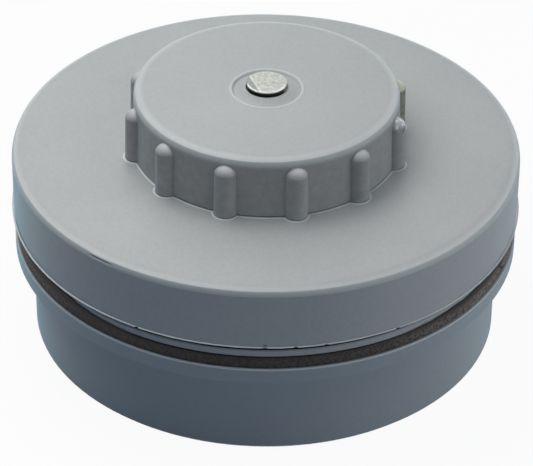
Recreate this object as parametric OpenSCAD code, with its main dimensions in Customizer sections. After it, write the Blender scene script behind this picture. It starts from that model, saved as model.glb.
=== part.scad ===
// Pipe access plug for a 110 mm drain: a spigot body with a rubber ring on its
// flange, and a lid that a ribbed hand knob screws down on a fixed steel bolt.
// Lengths are in millimetres. +Z is up and the spigot's end stands on Z = 0.

/* [Spigot body] */
// Outside diameter of the spigot, made to enter a pipe socket
spigot_d = 110; // [100:0.5:114]
// Wall thickness of the spigot
spigot_wall = 3.2; // [2.4:0.1:4]
// Length of the spigot below its flange
spigot_len = 22.2; // [22:0.2:60]
// Chamfer on the spigot's free end
spigot_chamfer = 1; // [0.4:0.1:1.5]
// How far the flange stands out of the spigot
flange_out = 4.2; // [3.8:0.1:8]
// Thickness of the flange
flange_t = 3.8; // [3:0.1:6]
// Height of the rim inside the rubber ring, above the flange
upstand_h = 1.8; // [1:0.1:2.4]
// Thickness of that rim
upstand_t = 2.2; // [1.6:0.1:2.4]
// Number of spokes that carry the bolt
spoke_count = 4; // [2:2:6]
// Thickness of each spoke
spoke_t = 3.2; // [2:0.1:5]
// Depth of each spoke, along the bolt
spoke_h = 12; // [8:0.5:14]
// Diameter of the hub that holds the bolt
hub_d = 27; // [25:0.5:32]
// Fillet where each spoke meets the hub and the wall
spoke_fillet_r = 3; // [1:0.5:4]

/* [Seal ring] */
// How far the rubber ring's edge lies inside the flange's
seal_inset = 0.4; // [0:0.1:0.8]
// Thickness of the rubber ring when the lid is screwed down
seal_t = 2.9; // [2.5:0.1:6]
// Gap between the rim of the body and the ring around it
seal_gap = 0.3; // [0.1:0.05:0.6]

/* [Lid] */
// How far the lid's skirt stands out past the flange
skirt_over = 0.1; // [0:0.05:3]
// Height of the skirt, from its lower edge to the top of the lid
skirt_h = 15.4; // [13:0.1:22]
// Radius of the lid's top edge
lid_edge_r = 2.6; // [2:0.1:4.5]
// Thickness of the lid's top plate
lid_plate_t = 3.4; // [2.6:0.1:4.5]
// Wall thickness of the skirt and of the ledge inside its lower edge
lid_wall = 3; // [2:0.1:3.6]
// Width of the lip that presses on the rubber ring
lip_t = 4.1; // [2.4:0.1:4.4]
// Height of the lip and of the neck above it, from the rubber ring to the skirt
lip_h = 3.4; // [2.6:0.1:6]
// Height of the neck between the lip and the skirt
neck_h = 1.6; // [0.8:0.1:2]
// How far the neck lies inside the lip
neck_in = 1.4; // [0.6:0.1:1.6]
// How far the moulding flash stands out along the skirt's lower edge
flash_out = 0.4; // [0.1:0.05:0.6]
// Height of that flash
flash_h = 0.3; // [0.2:0.05:0.8]
// Gap between the centring rim and the bore of the spigot
centring_gap = 0.5; // [0.4:0.1:1]
// How far the centring rim reaches below the lip
centring_drop = 5; // [3:0.5:8]
// Thickness of the centring rim
centring_t = 2; // [1.4:0.1:3]
// Number of stiffening webs under the lid
web_count = 8; // [4:2:12]
// Thickness of each web
web_t = 2.2; // [1.4:0.1:3]
// Depth of each web below the plate
web_h = 6; // [3:0.5:9]
// Wall around the hole in the middle of the lid
boss_wall = 3; // [2:0.1:5]
// Length of that wall, from the top of the lid
boss_h = 9.5; // [8:0.5:11]

/* [Knob] */
// Diameter of the knob at its lower edge, without the ribs
knob_d = 62.4; // [56:0.2:72]
// How much narrower the knob is at the top, on each side
knob_draft = 0.4; // [0.2:0.1:1.5]
// Height of the knob's wall
knob_h = 14.7; // [13:0.1:20]
// Radius of the knob's top edge
knob_edge_r = 1.8; // [1.5:0.1:3]
// Wall thickness of the knob
knob_wall = 2.8; // [2:0.1:4]
// Gap between the knob's wall and the top of the lid
knob_gap = 0.2; // [0.2:0.05:1]
// Number of ribs around the knob
grip_count = 12; // [6:1:20]
// Width of a rib at its foot
grip_d = 5.4; // [4:0.1:7]
// How much narrower a rib is at its top
grip_taper = 0.4; // [0:0.1:1]
// How far a rib stands out of the wall
grip_out = 2.2; // [1.5:0.1:3]
// Distance from the knob's top down to the straight part of a rib
grip_drop = 3.9; // [2.4:0.1:6]
// Height of the dome on top of a rib
grip_dome_h = 1.7; // [1:0.1:2.4]
// Diameter of the shallow recess in the knob's top
recess_d = 16.8; // [15.4:0.1:22]
// Depth of that recess
recess_depth = 0.5; // [0.2:0.1:1]
// Width of the sloping wall around the recess
recess_slope = 0.7; // [0.3:0.1:1]
// Width of the cone that rises from the recess around the bolt
collar_w = 1.9; // [1.2:0.1:2.4]
// Height of that cone
collar_h = 0.8; // [0.4:0.1:1.2]
// Number of webs inside the knob
knob_web_count = 6; // [4:1:12]
// Thickness of each of those webs
knob_web_t = 2; // [1.4:0.1:3]
// Diameter of the knob's shank, which turns in the lid
shank_d = 24.8; // [23:0.1:30]
// Radial running clearance between the shank and the lid
shank_fit = 0.06; // [0.02:0.01:0.1]
// Diameter of the shoulder that bears on the lid
shoulder_d = 32; // [29:0.5:38]
// How far the snap bead under the lid stands out of the shank
bead_out = 0.8; // [0.4:0.1:1.2]
// Height of the snap bead
bead_h = 2.4; // [1.6:0.1:4]
// Gap between the snap bead and the lid
bead_gap = 0.3; // [0.2:0.05:0.5]

/* [Bolt and nuts] */
// Thread diameter of the bolt
bolt_d = 10; // [8:0.5:10.5]
// Length of the bolt below its head
bolt_len = 55; // [52:0.5:56]
// How far the bolt's end stands above the knob
bolt_out = 1.5; // [1.2:0.1:4]
// Chamfer on the bolt's end
bolt_chamfer = 0.4; // [0.2:0.1:0.8]
// Width across flats of the bolt's head and of both nuts
hex_af = 17; // [16:0.5:18]
// Height of the bolt's head
head_h = 6.4; // [5:0.1:6.6]
// How deep the head's pocket is in the hub
pocket_depth = 7.4; // [7:0.1:7.8]
// Gap on each side between the head and its pocket
pocket_gap = 0.15; // [0.1:0.05:0.3]
// Thickness of the hub between the head and the washer
hub_grip = 7.2; // [5:0.1:9]
// Outside diameter of the washer
washer_d = 20; // [19:0.5:22]
// Thickness of the washer
washer_t = 2; // [1:0.1:2.5]
// Height of the thin nut that locks the bolt in the hub
lock_nut_h = 5; // [4:0.1:6]
// Height of the nut moulded into the knob
knob_nut_h = 8; // [5:0.1:8.4]
// Diameter of the rubber seal around the bolt
bolt_seal_d = 16; // [14:0.1:17]
// Thickness of the rubber seal around the bolt
bolt_seal_t = 3; // [2:0.1:3.5]
// Radial gap between a thread's plain core and its nut
thread_gap = 0.05; // [0.02:0.01:0.1]
// Radial gap around the bolt in the hub and the knob
hole_gap = 0.45; // [0.3:0.05:0.6]

/* [Hidden] */
$fn = 96;

// Margin by which a cutting shape runs past what it cuts
past = 1;
// How deep a web, a spoke or a shank is rooted in what it meets
root = 0.6;

// Levels, from the ground up
flange_z = spigot_len;
flange_top = flange_z + flange_t;
lip_z = flange_top + seal_t;
skirt_z = lip_z + lip_h;
lid_top = skirt_z + skirt_h;
knob_z = lid_top + knob_gap;
knob_top = knob_z + knob_h;
bolt_end_z = knob_top + bolt_out;
head_seat_z = bolt_end_z - bolt_len;
hub_z = head_seat_z - pocket_depth;
hub_top = head_seat_z + hub_grip;
washer_top = hub_top + washer_t;
boss_z = lid_top - boss_h;
bead_top = boss_z - bead_gap;
shank_z = bead_top - bead_h;
knob_nut_z = shank_z + bolt_seal_t;
centring_z = lip_z - centring_drop;
plate_z = lid_top - lid_plate_t;

// Radii
spigot_r = spigot_d / 2;
bore_r = spigot_r - spigot_wall;
flange_r = spigot_r + flange_out;
upstand_r = bore_r + upstand_t;
seal_bore_r = upstand_r + seal_gap;
seal_r = flange_r - seal_inset;
lid_r = flange_r + skirt_over;
lip_r = seal_bore_r + lip_t;
centring_r = bore_r - centring_gap;
shank_r = shank_d / 2;
lid_hole_r = shank_r + shank_fit;
boss_r = lid_hole_r + boss_wall;
knob_r = knob_d / 2;
knob_top_r = knob_r - knob_draft;
bolt_r = bolt_d / 2 - thread_gap;
nut_bore_r = bolt_d / 2;
hole_r = bolt_d / 2 + hole_gap;

// Distance from the centre of a hexagon to its corners
function hex_corner(af) = af / sqrt(3);

// A ring from radius r1 to radius r2, standing on z
module ring(z, h, r1, r2) {
    translate([0, 0, z]) difference() {
        cylinder(h = h, r = r2);
        translate([0, 0, -past]) cylinder(h = h + 2 * past, r = r1);
    }
}

// A rectangle in the plane of a turned profile, from radius r1 to r2 and z1 to z2
module band(r1, r2, z1, z2) {
    translate([r1, z1]) square([r2 - r1, z2 - z1]);
}

// A hexagonal prism standing on z
module hexagon(z, h, af) {
    translate([0, 0, z]) cylinder(h = h, r = hex_corner(af), $fn = 6);
}

// A hexagon whose corners are turned off at 30 degrees on the chosen faces
module turned_hexagon(z, h, af, top = true, bottom = true) {
    corner = hex_corner(af);
    slope = (corner - af / 2) * tan(30);
    z1 = bottom ? z + slope : z;
    z2 = top ? z + h - slope : z + h;
    intersection() {
        hexagon(z, h, af);
        rotate_extrude() polygon([
            [0, z], [bottom ? af / 2 : corner, z], [corner, z1],
            [corner, z2], [top ? af / 2 : corner, z + h], [0, z + h]
        ]);
    }
}

// A nut with a plain bore in place of its thread
module nut(z, h) {
    difference() {
        turned_hexagon(z, h, hex_af);
        translate([0, 0, z - past]) cylinder(h = h + 2 * past, r = nut_bore_r);
    }
}

// One upright plate from radius r1 to radius r2, centred on the X axis
module radial_plate(r1, r2, z, h, t) {
    translate([r1, -t / 2, z]) cube([r2 - r1, t, h]);
}

// Plates like the one above, spread evenly around the axis
module radial_plates(count, r1, r2, z, h, t) {
    for (i = [0 : count - 1]) rotate(i * 360 / count) radial_plate(r1, r2, z, h, t);
}

// Outline of the spokes in plan, with fillets on both sides where they meet the hub and the wall
module spoke_plan() {
    fillet_y = spoke_t / 2 + spoke_fillet_r;
    hub_x = sqrt(pow(hub_d / 2 + spoke_fillet_r, 2) - pow(fillet_y, 2));
    wall_x = sqrt(pow(bore_r - spoke_fillet_r, 2) - pow(fillet_y, 2));
    for (i = [0 : spoke_count - 1]) rotate(i * 360 / spoke_count) {
        translate([0, -spoke_t / 2]) square([bore_r + root, spoke_t]);
        difference() {
            union() {
                translate([0, -fillet_y]) square([hub_x, 2 * fillet_y]);
                translate([wall_x, -fillet_y]) square([bore_r + root - wall_x, 2 * fillet_y]);
            }
            for (x = [hub_x, wall_x], side = [-1, 1])
                translate([x, side * fillet_y]) circle(spoke_fillet_r);
        }
    }
}

// Spigot, flange, rim, hub and spokes, moulded in one piece
module spigot_body() color("slategray") {
    difference() {
        union() {
            rotate_extrude() {
                polygon([
                    [bore_r, 0], [spigot_r - spigot_chamfer, 0], [spigot_r, spigot_chamfer],
                    [spigot_r, flange_z], [bore_r, flange_z]
                ]);
                band(bore_r, flange_r, flange_z, flange_top);
                band(bore_r, upstand_r, flange_z, flange_top + upstand_h);
            }
            translate([0, 0, hub_z]) linear_extrude(spoke_h) spoke_plan();
            translate([0, 0, hub_z]) cylinder(h = hub_top - hub_z, r = hub_d / 2);
        }
        hexagon(hub_z - past, pocket_depth + past, hex_af + 2 * pocket_gap);
        translate([0, 0, hub_z]) cylinder(h = hub_top - hub_z + past, r = hole_r);
    }
}

// Flat rubber ring between the flange and the lip of the lid
module seal_ring() color([0.13, 0.13, 0.13]) {
    ring(flange_top, seal_t, seal_bore_r, seal_r);
}

// Bolt with a hexagonal head, without its thread
module bolt() color("silver") {
    turned_hexagon(head_seat_z - head_h, head_h, hex_af, top = false);
    rotate_extrude() polygon([
        [0, head_seat_z - root], [bolt_r, head_seat_z - root], [bolt_r, bolt_end_z - bolt_chamfer],
        [bolt_r - bolt_chamfer, bolt_end_z], [0, bolt_end_z]
    ]);
}

// Flat washer on the hub
module bolt_washer() color("silver") ring(hub_top, washer_t, hole_r, washer_d / 2);

// Thin nut that holds the bolt in the hub
module bolt_lock_nut() color("silver") nut(washer_top, lock_nut_h);

// Turned profile of the lid: plate, skirt with its flash, ledge, neck, lip and centring rim
module lid_profile() {
    band(0, lid_r - lid_edge_r, plate_z, lid_top);
    band(lid_r - lid_wall, lid_r, skirt_z, lid_top - lid_edge_r);
    translate([lid_r - lid_edge_r, lid_top - lid_edge_r]) circle(lid_edge_r);
    polygon([
        [lid_r - root, skirt_z], [lid_r + flash_out, skirt_z],
        [lid_r + flash_out, skirt_z + flash_h / 2], [lid_r, skirt_z + flash_h],
        [lid_r - root, skirt_z + flash_h]
    ]);
    band(seal_bore_r, lid_r, skirt_z, skirt_z + lid_wall);
    band(seal_bore_r, lip_r, lip_z, skirt_z - neck_h);
    band(seal_bore_r, lip_r - neck_in, lip_z, skirt_z + root);
    band(centring_r - centring_t, centring_r, centring_z, lid_top - root);
    band(0, boss_r, boss_z, lid_top);
}

// Lid with its webs and the hole for the knob's shank
module lid() color("darkgray") {
    difference() {
        union() {
            rotate_extrude() lid_profile();
            radial_plates(web_count, boss_r - root, lid_r - lid_wall + root,
                          plate_z - web_h, web_h + root, web_t);
        }
        translate([0, 0, boss_z - past]) cylinder(h = boss_h + 2 * past, r = lid_hole_r);
    }
}

// Turned profile of the knob: cap, drafted wall, shank with its shoulder and snap bead
module knob_profile() {
    top_plate = knob_top - knob_wall;
    corner_r = knob_top_r - knob_edge_r;
    corner_z = knob_top - knob_edge_r;
    recess_z = knob_top - recess_depth;
    lean = atan(knob_draft / knob_h);
    difference() {
        union() {
            band(0, corner_r, top_plate, knob_top);
            translate([corner_r, corner_z]) circle(knob_edge_r);
            polygon([
                [knob_r - knob_wall, knob_z], [knob_r, knob_z],
                [corner_r + knob_edge_r * cos(lean), corner_z + knob_edge_r * sin(lean)],
                [corner_r, corner_z], [knob_top_r - knob_wall, top_plate]
            ]);
        }
        polygon([
            [0, recess_z], [recess_d / 2 - recess_slope, recess_z],
            [recess_d / 2, knob_top], [0, knob_top]
        ]);
    }
    polygon([
        [0, recess_z - root], [hole_r + collar_w, recess_z - root],
        [hole_r + collar_w, recess_z], [hole_r, recess_z + collar_h], [0, recess_z + collar_h]
    ]);
    band(0, shoulder_d / 2, lid_top, top_plate + root);
    band(0, shank_r, shank_z, lid_top + root);
    polygon([
        [shank_r - root, shank_z], [shank_r, shank_z], [shank_r + bead_out, bead_top - bead_out],
        [shank_r + bead_out, bead_top], [shank_r - root, bead_top]
    ]);
}

// One grip rib: an upright round bar with a dome on its top, turned about its own axis
module grip_rib() {
    rib_h = knob_h - grip_drop;
    rib_top_r = (grip_d - grip_taper) / 2;
    dome = [for (a = [30, 60, 90]) [rib_top_r * cos(a), rib_h + grip_dome_h * sin(a)]];
    translate([knob_r + grip_out - grip_d / 2, 0, knob_z])
        rotate_extrude() polygon(concat([[0, 0], [grip_d / 2, 0], [rib_top_r, rib_h]], dome));
}

// Hand knob with its ribs, webs and shank, moulded in one piece around its nut
module knob() color("darkgray") {
    web_z = lid_top + knob_wall;
    difference() {
        union() {
            rotate_extrude() knob_profile();
            for (i = [0 : grip_count - 1]) rotate(i * 360 / grip_count) grip_rib();
            radial_plates(knob_web_count, shoulder_d / 2 - root, knob_top_r - knob_wall + root,
                          web_z, knob_top - knob_wall - web_z + root, knob_web_t);
        }
        translate([0, 0, shank_z - past])
            cylinder(h = knob_top + collar_h - shank_z + 2 * past, r = hole_r);
        translate([0, 0, shank_z - past]) cylinder(h = bolt_seal_t + past, r = bolt_seal_d / 2);
        turned_hexagon(knob_nut_z, knob_nut_h, hex_af);
    }
}

// Steel nut moulded into the knob
module knob_nut() color("silver") nut(knob_nut_z, knob_nut_h);

// Rubber seal around the bolt, in the end of the knob's shank
module bolt_seal() color([0.13, 0.13, 0.13]) {
    ring(shank_z, bolt_seal_t, nut_bore_r, bolt_seal_d / 2);
}

spigot_body();
seal_ring();
bolt();
bolt_washer();
bolt_lock_nut();
lid();
knob();
knob_nut();
bolt_seal();
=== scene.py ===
"""Looks of the pipe access plug: mouldings, rubber, steel, studio and camera.

The plug stands on its spigot at the origin, +Z up. All lengths in the classes
are millimetres and are turned into metres where a mesh or a lamp is made.
"""

import logging
import math
from dataclasses import dataclass
from enum import Enum
from typing import Callable, Iterable, Sequence

import bpy
from mathutils import Matrix, Vector


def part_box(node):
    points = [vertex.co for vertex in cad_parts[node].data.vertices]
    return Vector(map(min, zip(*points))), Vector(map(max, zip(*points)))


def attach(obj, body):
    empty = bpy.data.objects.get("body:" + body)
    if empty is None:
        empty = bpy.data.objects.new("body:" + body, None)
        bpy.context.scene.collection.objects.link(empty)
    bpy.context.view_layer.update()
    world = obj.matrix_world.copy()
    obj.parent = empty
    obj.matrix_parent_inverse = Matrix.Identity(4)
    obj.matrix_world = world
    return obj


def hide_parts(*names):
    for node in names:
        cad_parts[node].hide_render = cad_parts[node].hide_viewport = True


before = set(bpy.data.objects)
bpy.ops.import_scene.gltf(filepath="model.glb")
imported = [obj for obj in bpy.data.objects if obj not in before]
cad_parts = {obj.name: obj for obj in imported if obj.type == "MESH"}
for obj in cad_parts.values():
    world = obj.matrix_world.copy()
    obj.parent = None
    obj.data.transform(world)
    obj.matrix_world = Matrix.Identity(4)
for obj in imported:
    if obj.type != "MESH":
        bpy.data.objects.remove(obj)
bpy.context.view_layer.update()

MM = 0.001
# How deep a web is rooted in what it meets, in millimetres
WEB_ROOT = 0.3
# Bearing of the rubber ring's joint in degrees, and how far it leans per millimetre of height
JOINT_BEARING = -34.1
JOINT_SLANT = 1.32
log = logging.getLogger("plug")

Point = tuple[float, float]
Colour = tuple[float, float, float]
Profile = list[Point]
WHITE: Colour = (1.0, 1.0, 1.0)


def srgb(red: int, green: int, blue: int) -> Colour:
    """Turn a colour written as 0 to 255 on screen into linear light.

    Args:
        red: Red on screen.
        green: Green on screen.
        blue: Blue on screen.

    Returns:
        The three linear values.
    """
    def linear(level: int) -> float:
        """Turn one level on screen into linear light."""
        share = level / 255
        return share / 12.92 if share <= 0.04045 else ((share + 0.055) / 1.055) ** 2.4

    return linear(red), linear(green), linear(blue)


def opaque(colour: Colour) -> tuple[float, float, float, float]:
    """Add full alpha to a colour, as colour sockets want it."""
    return (*colour, 1.0)


class Side(Enum):
    """Where a lamp stands, as a bearing in degrees from the camera, to its right."""

    RIGHT = 90.0
    FRONT_RIGHT = 45.0
    LEFT = -92.0
    BACK_LEFT = -160.0


@dataclass(frozen=True)
class Value:
    """One output socket of a node graph, with the operators of a number."""

    graph: "Graph"
    socket: bpy.types.NodeSocket

    def _math(self, operation: str, *others: "Value | float") -> "Value":
        """Add a Math node that takes this value first.

        Args:
            operation: The Math node's operation.
            others: The values that fill its other sockets.

        Returns:
            The node's result.
        """
        sockets = dict(enumerate((self, *others)))
        return self.graph.value("ShaderNodeMath", {"operation": operation}, sockets)

    def __add__(self, other: "Value | float") -> "Value":
        """Sum."""
        return self._math("ADD", other)

    __radd__ = __add__

    def __sub__(self, other: "Value | float") -> "Value":
        """Difference."""
        return self._math("SUBTRACT", other)

    def __rsub__(self, other: float) -> "Value":
        """Difference from a plain number."""
        return self._math("MULTIPLY_ADD", -1.0, other)

    def __mul__(self, other: "Value | float") -> "Value":
        """Product."""
        return self._math("MULTIPLY", other)

    __rmul__ = __mul__

    def __truediv__(self, other: "Value | float") -> "Value":
        """Quotient."""
        return self._math("DIVIDE", other)

    def __rtruediv__(self, other: float) -> "Value":
        """Quotient of a plain number."""
        return self._math("POWER", -1.0) * other

    def size(self) -> "Value":
        """Value without its sign."""
        return self._math("ABSOLUTE")

    def root(self) -> "Value":
        """Square root of the value, or of nothing where it is negative."""
        return self._math("MAXIMUM", 0.0)._math("SQRT")

    def sine(self) -> "Value":
        """Sine of an angle in radians."""
        return self._math("SINE")

    def cosine(self) -> "Value":
        """Cosine of an angle in radians."""
        return self._math("COSINE")

    def fraction(self) -> "Value":
        """Part after the whole number."""
        return self._math("FRACT")

    def at_least(self, other: "Value | float") -> "Value":
        """Larger of two values."""
        return self._math("MAXIMUM", other)

    def at_most(self, other: "Value | float") -> "Value":
        """Smaller of two values."""
        return self._math("MINIMUM", other)

    def angle_with(self, x: "Value") -> "Value":
        """Angle of a point whose Y is this value.

        Args:
            x: The point's X.

        Returns:
            The angle in radians.
        """
        return self._math("ARCTAN2", x)

    def rise(self, low: float, high: float) -> "Value":
        """Fade smoothly from 0 to 1 between two levels, or from 1 to 0 if they are swapped.

        Args:
            low: Level at which the result is 0.
            high: Level at which the result is 1.

        Returns:
            The fade.
        """
        sockets = {"Value": self, "From Min": low, "From Max": high}
        return self.graph.value("ShaderNodeMapRange", {"interpolation_type": "SMOOTHSTEP"}, sockets)

    def near(self, level: float, reach: float, core: float) -> "Value":
        """Fade in smoothly around one level.

        Args:
            level: The level.
            reach: Distance from the level at which the result is 0.
            core: Distance within which the result is 1.

        Returns:
            The fade.
        """
        return (self - level).size().rise(reach, core)


class Graph:
    """A node tree of a material, a world or a shape while it is being built."""

    def __init__(self, tree: bpy.types.NodeTree) -> None:
        """Take hold of a tree and empty it."""
        self.tree = tree
        tree.nodes.clear()

    def add(self, kind: str, settings: dict | None = None,
            sockets: dict | None = None) -> bpy.types.Node:
        """Add one node.

        Args:
            kind: The node's type.
            settings: Its settings, set first.
            sockets: Values or links of its inputs, by name or number; a list fills one
                socket with several links.

        Returns:
            The node.
        """
        node = self.tree.nodes.new(kind)
        for name, setting in (settings or {}).items():
            setattr(node, name, setting)
        for key, value in (sockets or {}).items():
            socket = node.inputs[key]
            for item in value if isinstance(value, list) else [value]:
                source = item.socket if isinstance(item, Value) else item
                if isinstance(source, bpy.types.NodeSocket):
                    self.tree.links.new(source, socket)
                else:
                    socket.default_value = source
        return node

    def value(self, kind: str, settings: dict | None = None, sockets: dict | None = None,
              output: int | str = 0) -> Value:
        """Add one node and take one of its outputs.

        Args:
            kind: The node's type.
            settings: Its settings.
            sockets: Values or links of its inputs.
            output: Name or number of the output.

        Returns:
            The output as a value.
        """
        return Value(self, self.add(kind, settings, sockets).outputs[output])

    def blend(self, share: Value | float, first: Value | Colour,
              second: Value | Colour) -> Value:
        """Mix two colours.

        Args:
            share: How much of the second colour shows.
            first: The colour at 0.
            second: The colour at 1.

        Returns:
            The mixed colour.
        """
        ends = [opaque(c) if isinstance(c, tuple) else c for c in (first, second)]
        sockets = {0: share, 6: ends[0], 7: ends[1]}
        return self.value("ShaderNodeMix", {"data_type": "RGBA"}, sockets, 2)

    def parts(self, vector: Value) -> tuple[Value, Value, Value]:
        """Split a vector into X, Y and Z."""
        node = self.add("ShaderNodeSeparateXYZ", None, {0: vector})
        return tuple(Value(self, out) for out in node.outputs)

    def noise(self, place: Value, per_mm: float, detail: float = 2.0, seed: float = 0.0) -> Value:
        """Add a noise that is fixed by its seed.

        Args:
            place: Where it is read, in millimetres.
            per_mm: How many grains lie on a millimetre.
            detail: How many finer layers it has.
            seed: Which pattern it is.

        Returns:
            The noise, from 0 to 1.
        """
        sockets = {"Vector": place, "W": seed, "Scale": per_mm, "Detail": detail}
        return self.value("ShaderNodeTexNoise", {"noise_dimensions": "4D"}, sockets)


def new_material(name: str) -> tuple[bpy.types.Material, Graph]:
    """Make an empty material.

    Args:
        name: The material's name.

    Returns:
        The material and its graph.
    """
    made = bpy.data.materials.new(name)
    made.use_nodes = True
    return made, Graph(made.node_tree)


@dataclass(frozen=True)
class Place:
    """A point of a surface or a mesh, in millimetres on the part."""

    vector: Value
    x: Value
    y: Value
    z: Value
    radius: Value
    angle: Value

    @classmethod
    def read(cls, graph: Graph, metres: Value) -> "Place":
        """Work out a point from its coordinates.

        Args:
            graph: The graph of a material or a shape.
            metres: The coordinates in metres.

        Returns:
            The point with its radius and angle around the bolt.
        """
        sockets = {0: metres, "Scale": 1 / MM}
        vector = graph.value("ShaderNodeVectorMath", {"operation": "SCALE"}, sockets)
        x, y, z = graph.parts(vector)
        return cls(vector, x, y, z, (x * x + y * y).root(), y.angle_with(x))

    def near_angle(self, degrees: float, reach: float, at_radius: float) -> Value:
        """Fade in around one bearing on the part.

        Args:
            degrees: The bearing, counted from +X.
            reach: Half width of the spot, in millimetres.
            at_radius: Radius at which that width is measured.

        Returns:
            1 at the bearing and 0 past its reach.
        """
        turned = self.angle - math.radians(degrees)
        chord = turned.sine().size() * at_radius
        facing = turned.cosine().rise(0.0, 0.2)
        return chord.rise(reach, reach * 0.4) * facing


@dataclass(frozen=True)
class Finish:
    """Base of every finish: a material with a Principled shader."""

    name: str

    def material(self) -> bpy.types.Material:
        """Build the material.

        Returns:
            The finished material.
        """
        made, graph = new_material(self.name)
        place = Place.read(graph, graph.value("ShaderNodeTexCoord", output="Object"))
        shader = graph.add("ShaderNodeBsdfPrincipled", None, self.sockets(graph, place))
        graph.add("ShaderNodeOutputMaterial", None, {"Surface": shader.outputs[0]})
        return made

    def sockets(self, graph: Graph, place: Place) -> dict:
        """Give the shader's inputs. Each finish has its own."""
        raise NotImplementedError

    @staticmethod
    def relief(graph: Graph, height: Value) -> Value:
        """Turn a height in millimetres into a normal.

        Args:
            graph: The material's graph.
            height: The height.

        Returns:
            The normal.
        """
        return graph.value("ShaderNodeBump", None, {"Distance": MM, "Height": height})


@dataclass(frozen=True)
class MouldedPlastic(Finish):
    """Satin grey plastic as it leaves the mould."""

    colour: Colour
    shade: Colour
    roughness: float = 0.42
    sheen: float = 0.4
    sheen_tint: Colour = (0.1, 0.75, 1.0)
    seed: float = 1.0

    @staticmethod
    def edge_highlight(graph: Graph, place: Place, colour: Value, inner: float, levels: Point,
                    shares: Point) -> Value:
        """Paint a highlight along a top edge where light catches it, most of all on its crown.

        Args:
            graph: The material's graph.
            place: The point on the part.
            colour: The colour so far.
            inner: Radius at which the crown starts.
            levels: Heights of the turn's foot and of the crease.
            shares: How much lighter the turn and the crown are.

        Returns:
            The colour with the painted edge highlight.
        """
        foot, crease = levels
        outer = place.radius.rise(inner, inner + 1.6)
        crown = outer * place.z.rise(crease - 0.08, crease + 0.02)
        turn = outer * place.z.rise(foot - 0.1, foot + 0.25)
        # Painted highlight on the edge's turn and crown, lighter than the plastic itself.
        colour = graph.blend((turn - crown) * shares[0], colour, srgb(228, 236, 226))
        return graph.blend(crown * shares[1], colour, srgb(238, 241, 239))

    def marks(self, graph: Graph, place: Place, colour: Value) -> Value:
        """Paint the wear, stains and painted light of one moulding. A plain one has none."""
        return colour

    def sockets(self, graph: Graph, place: Place) -> dict:
        """Give the shader's inputs.

        Args:
            graph: The material's graph.
            place: The point on the part.

        Returns:
            Values and links by input name.
        """
        clouds = graph.noise(place.vector, 0.045, 3.0, self.seed)
        specks = graph.noise(place.vector, 1.3, 2.0, self.seed + 1)
        share = clouds.rise(0.25, 0.75) * 0.5 + specks.rise(0.3, 0.7) * 0.5
        colour = self.marks(graph, place, graph.blend(share, self.shade, self.colour))
        grain = graph.noise(place.vector, 2.4, 2.0, self.seed + 2)
        sink = graph.noise(place.vector, 0.06, 1.0, self.seed + 3)
        return {
            "Base Color": colour,
            "Roughness": clouds * 0.06 + specks * 0.05 + (self.roughness - 0.055),
            "Specular IOR Level": 0.3,
            "Sheen Weight": self.sheen,
            "Sheen Roughness": 0.35,
            "Sheen Tint": opaque(self.sheen_tint),
            "Normal": self.relief(graph, grain * 0.010 + sink * 0.06),
        }


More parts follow.
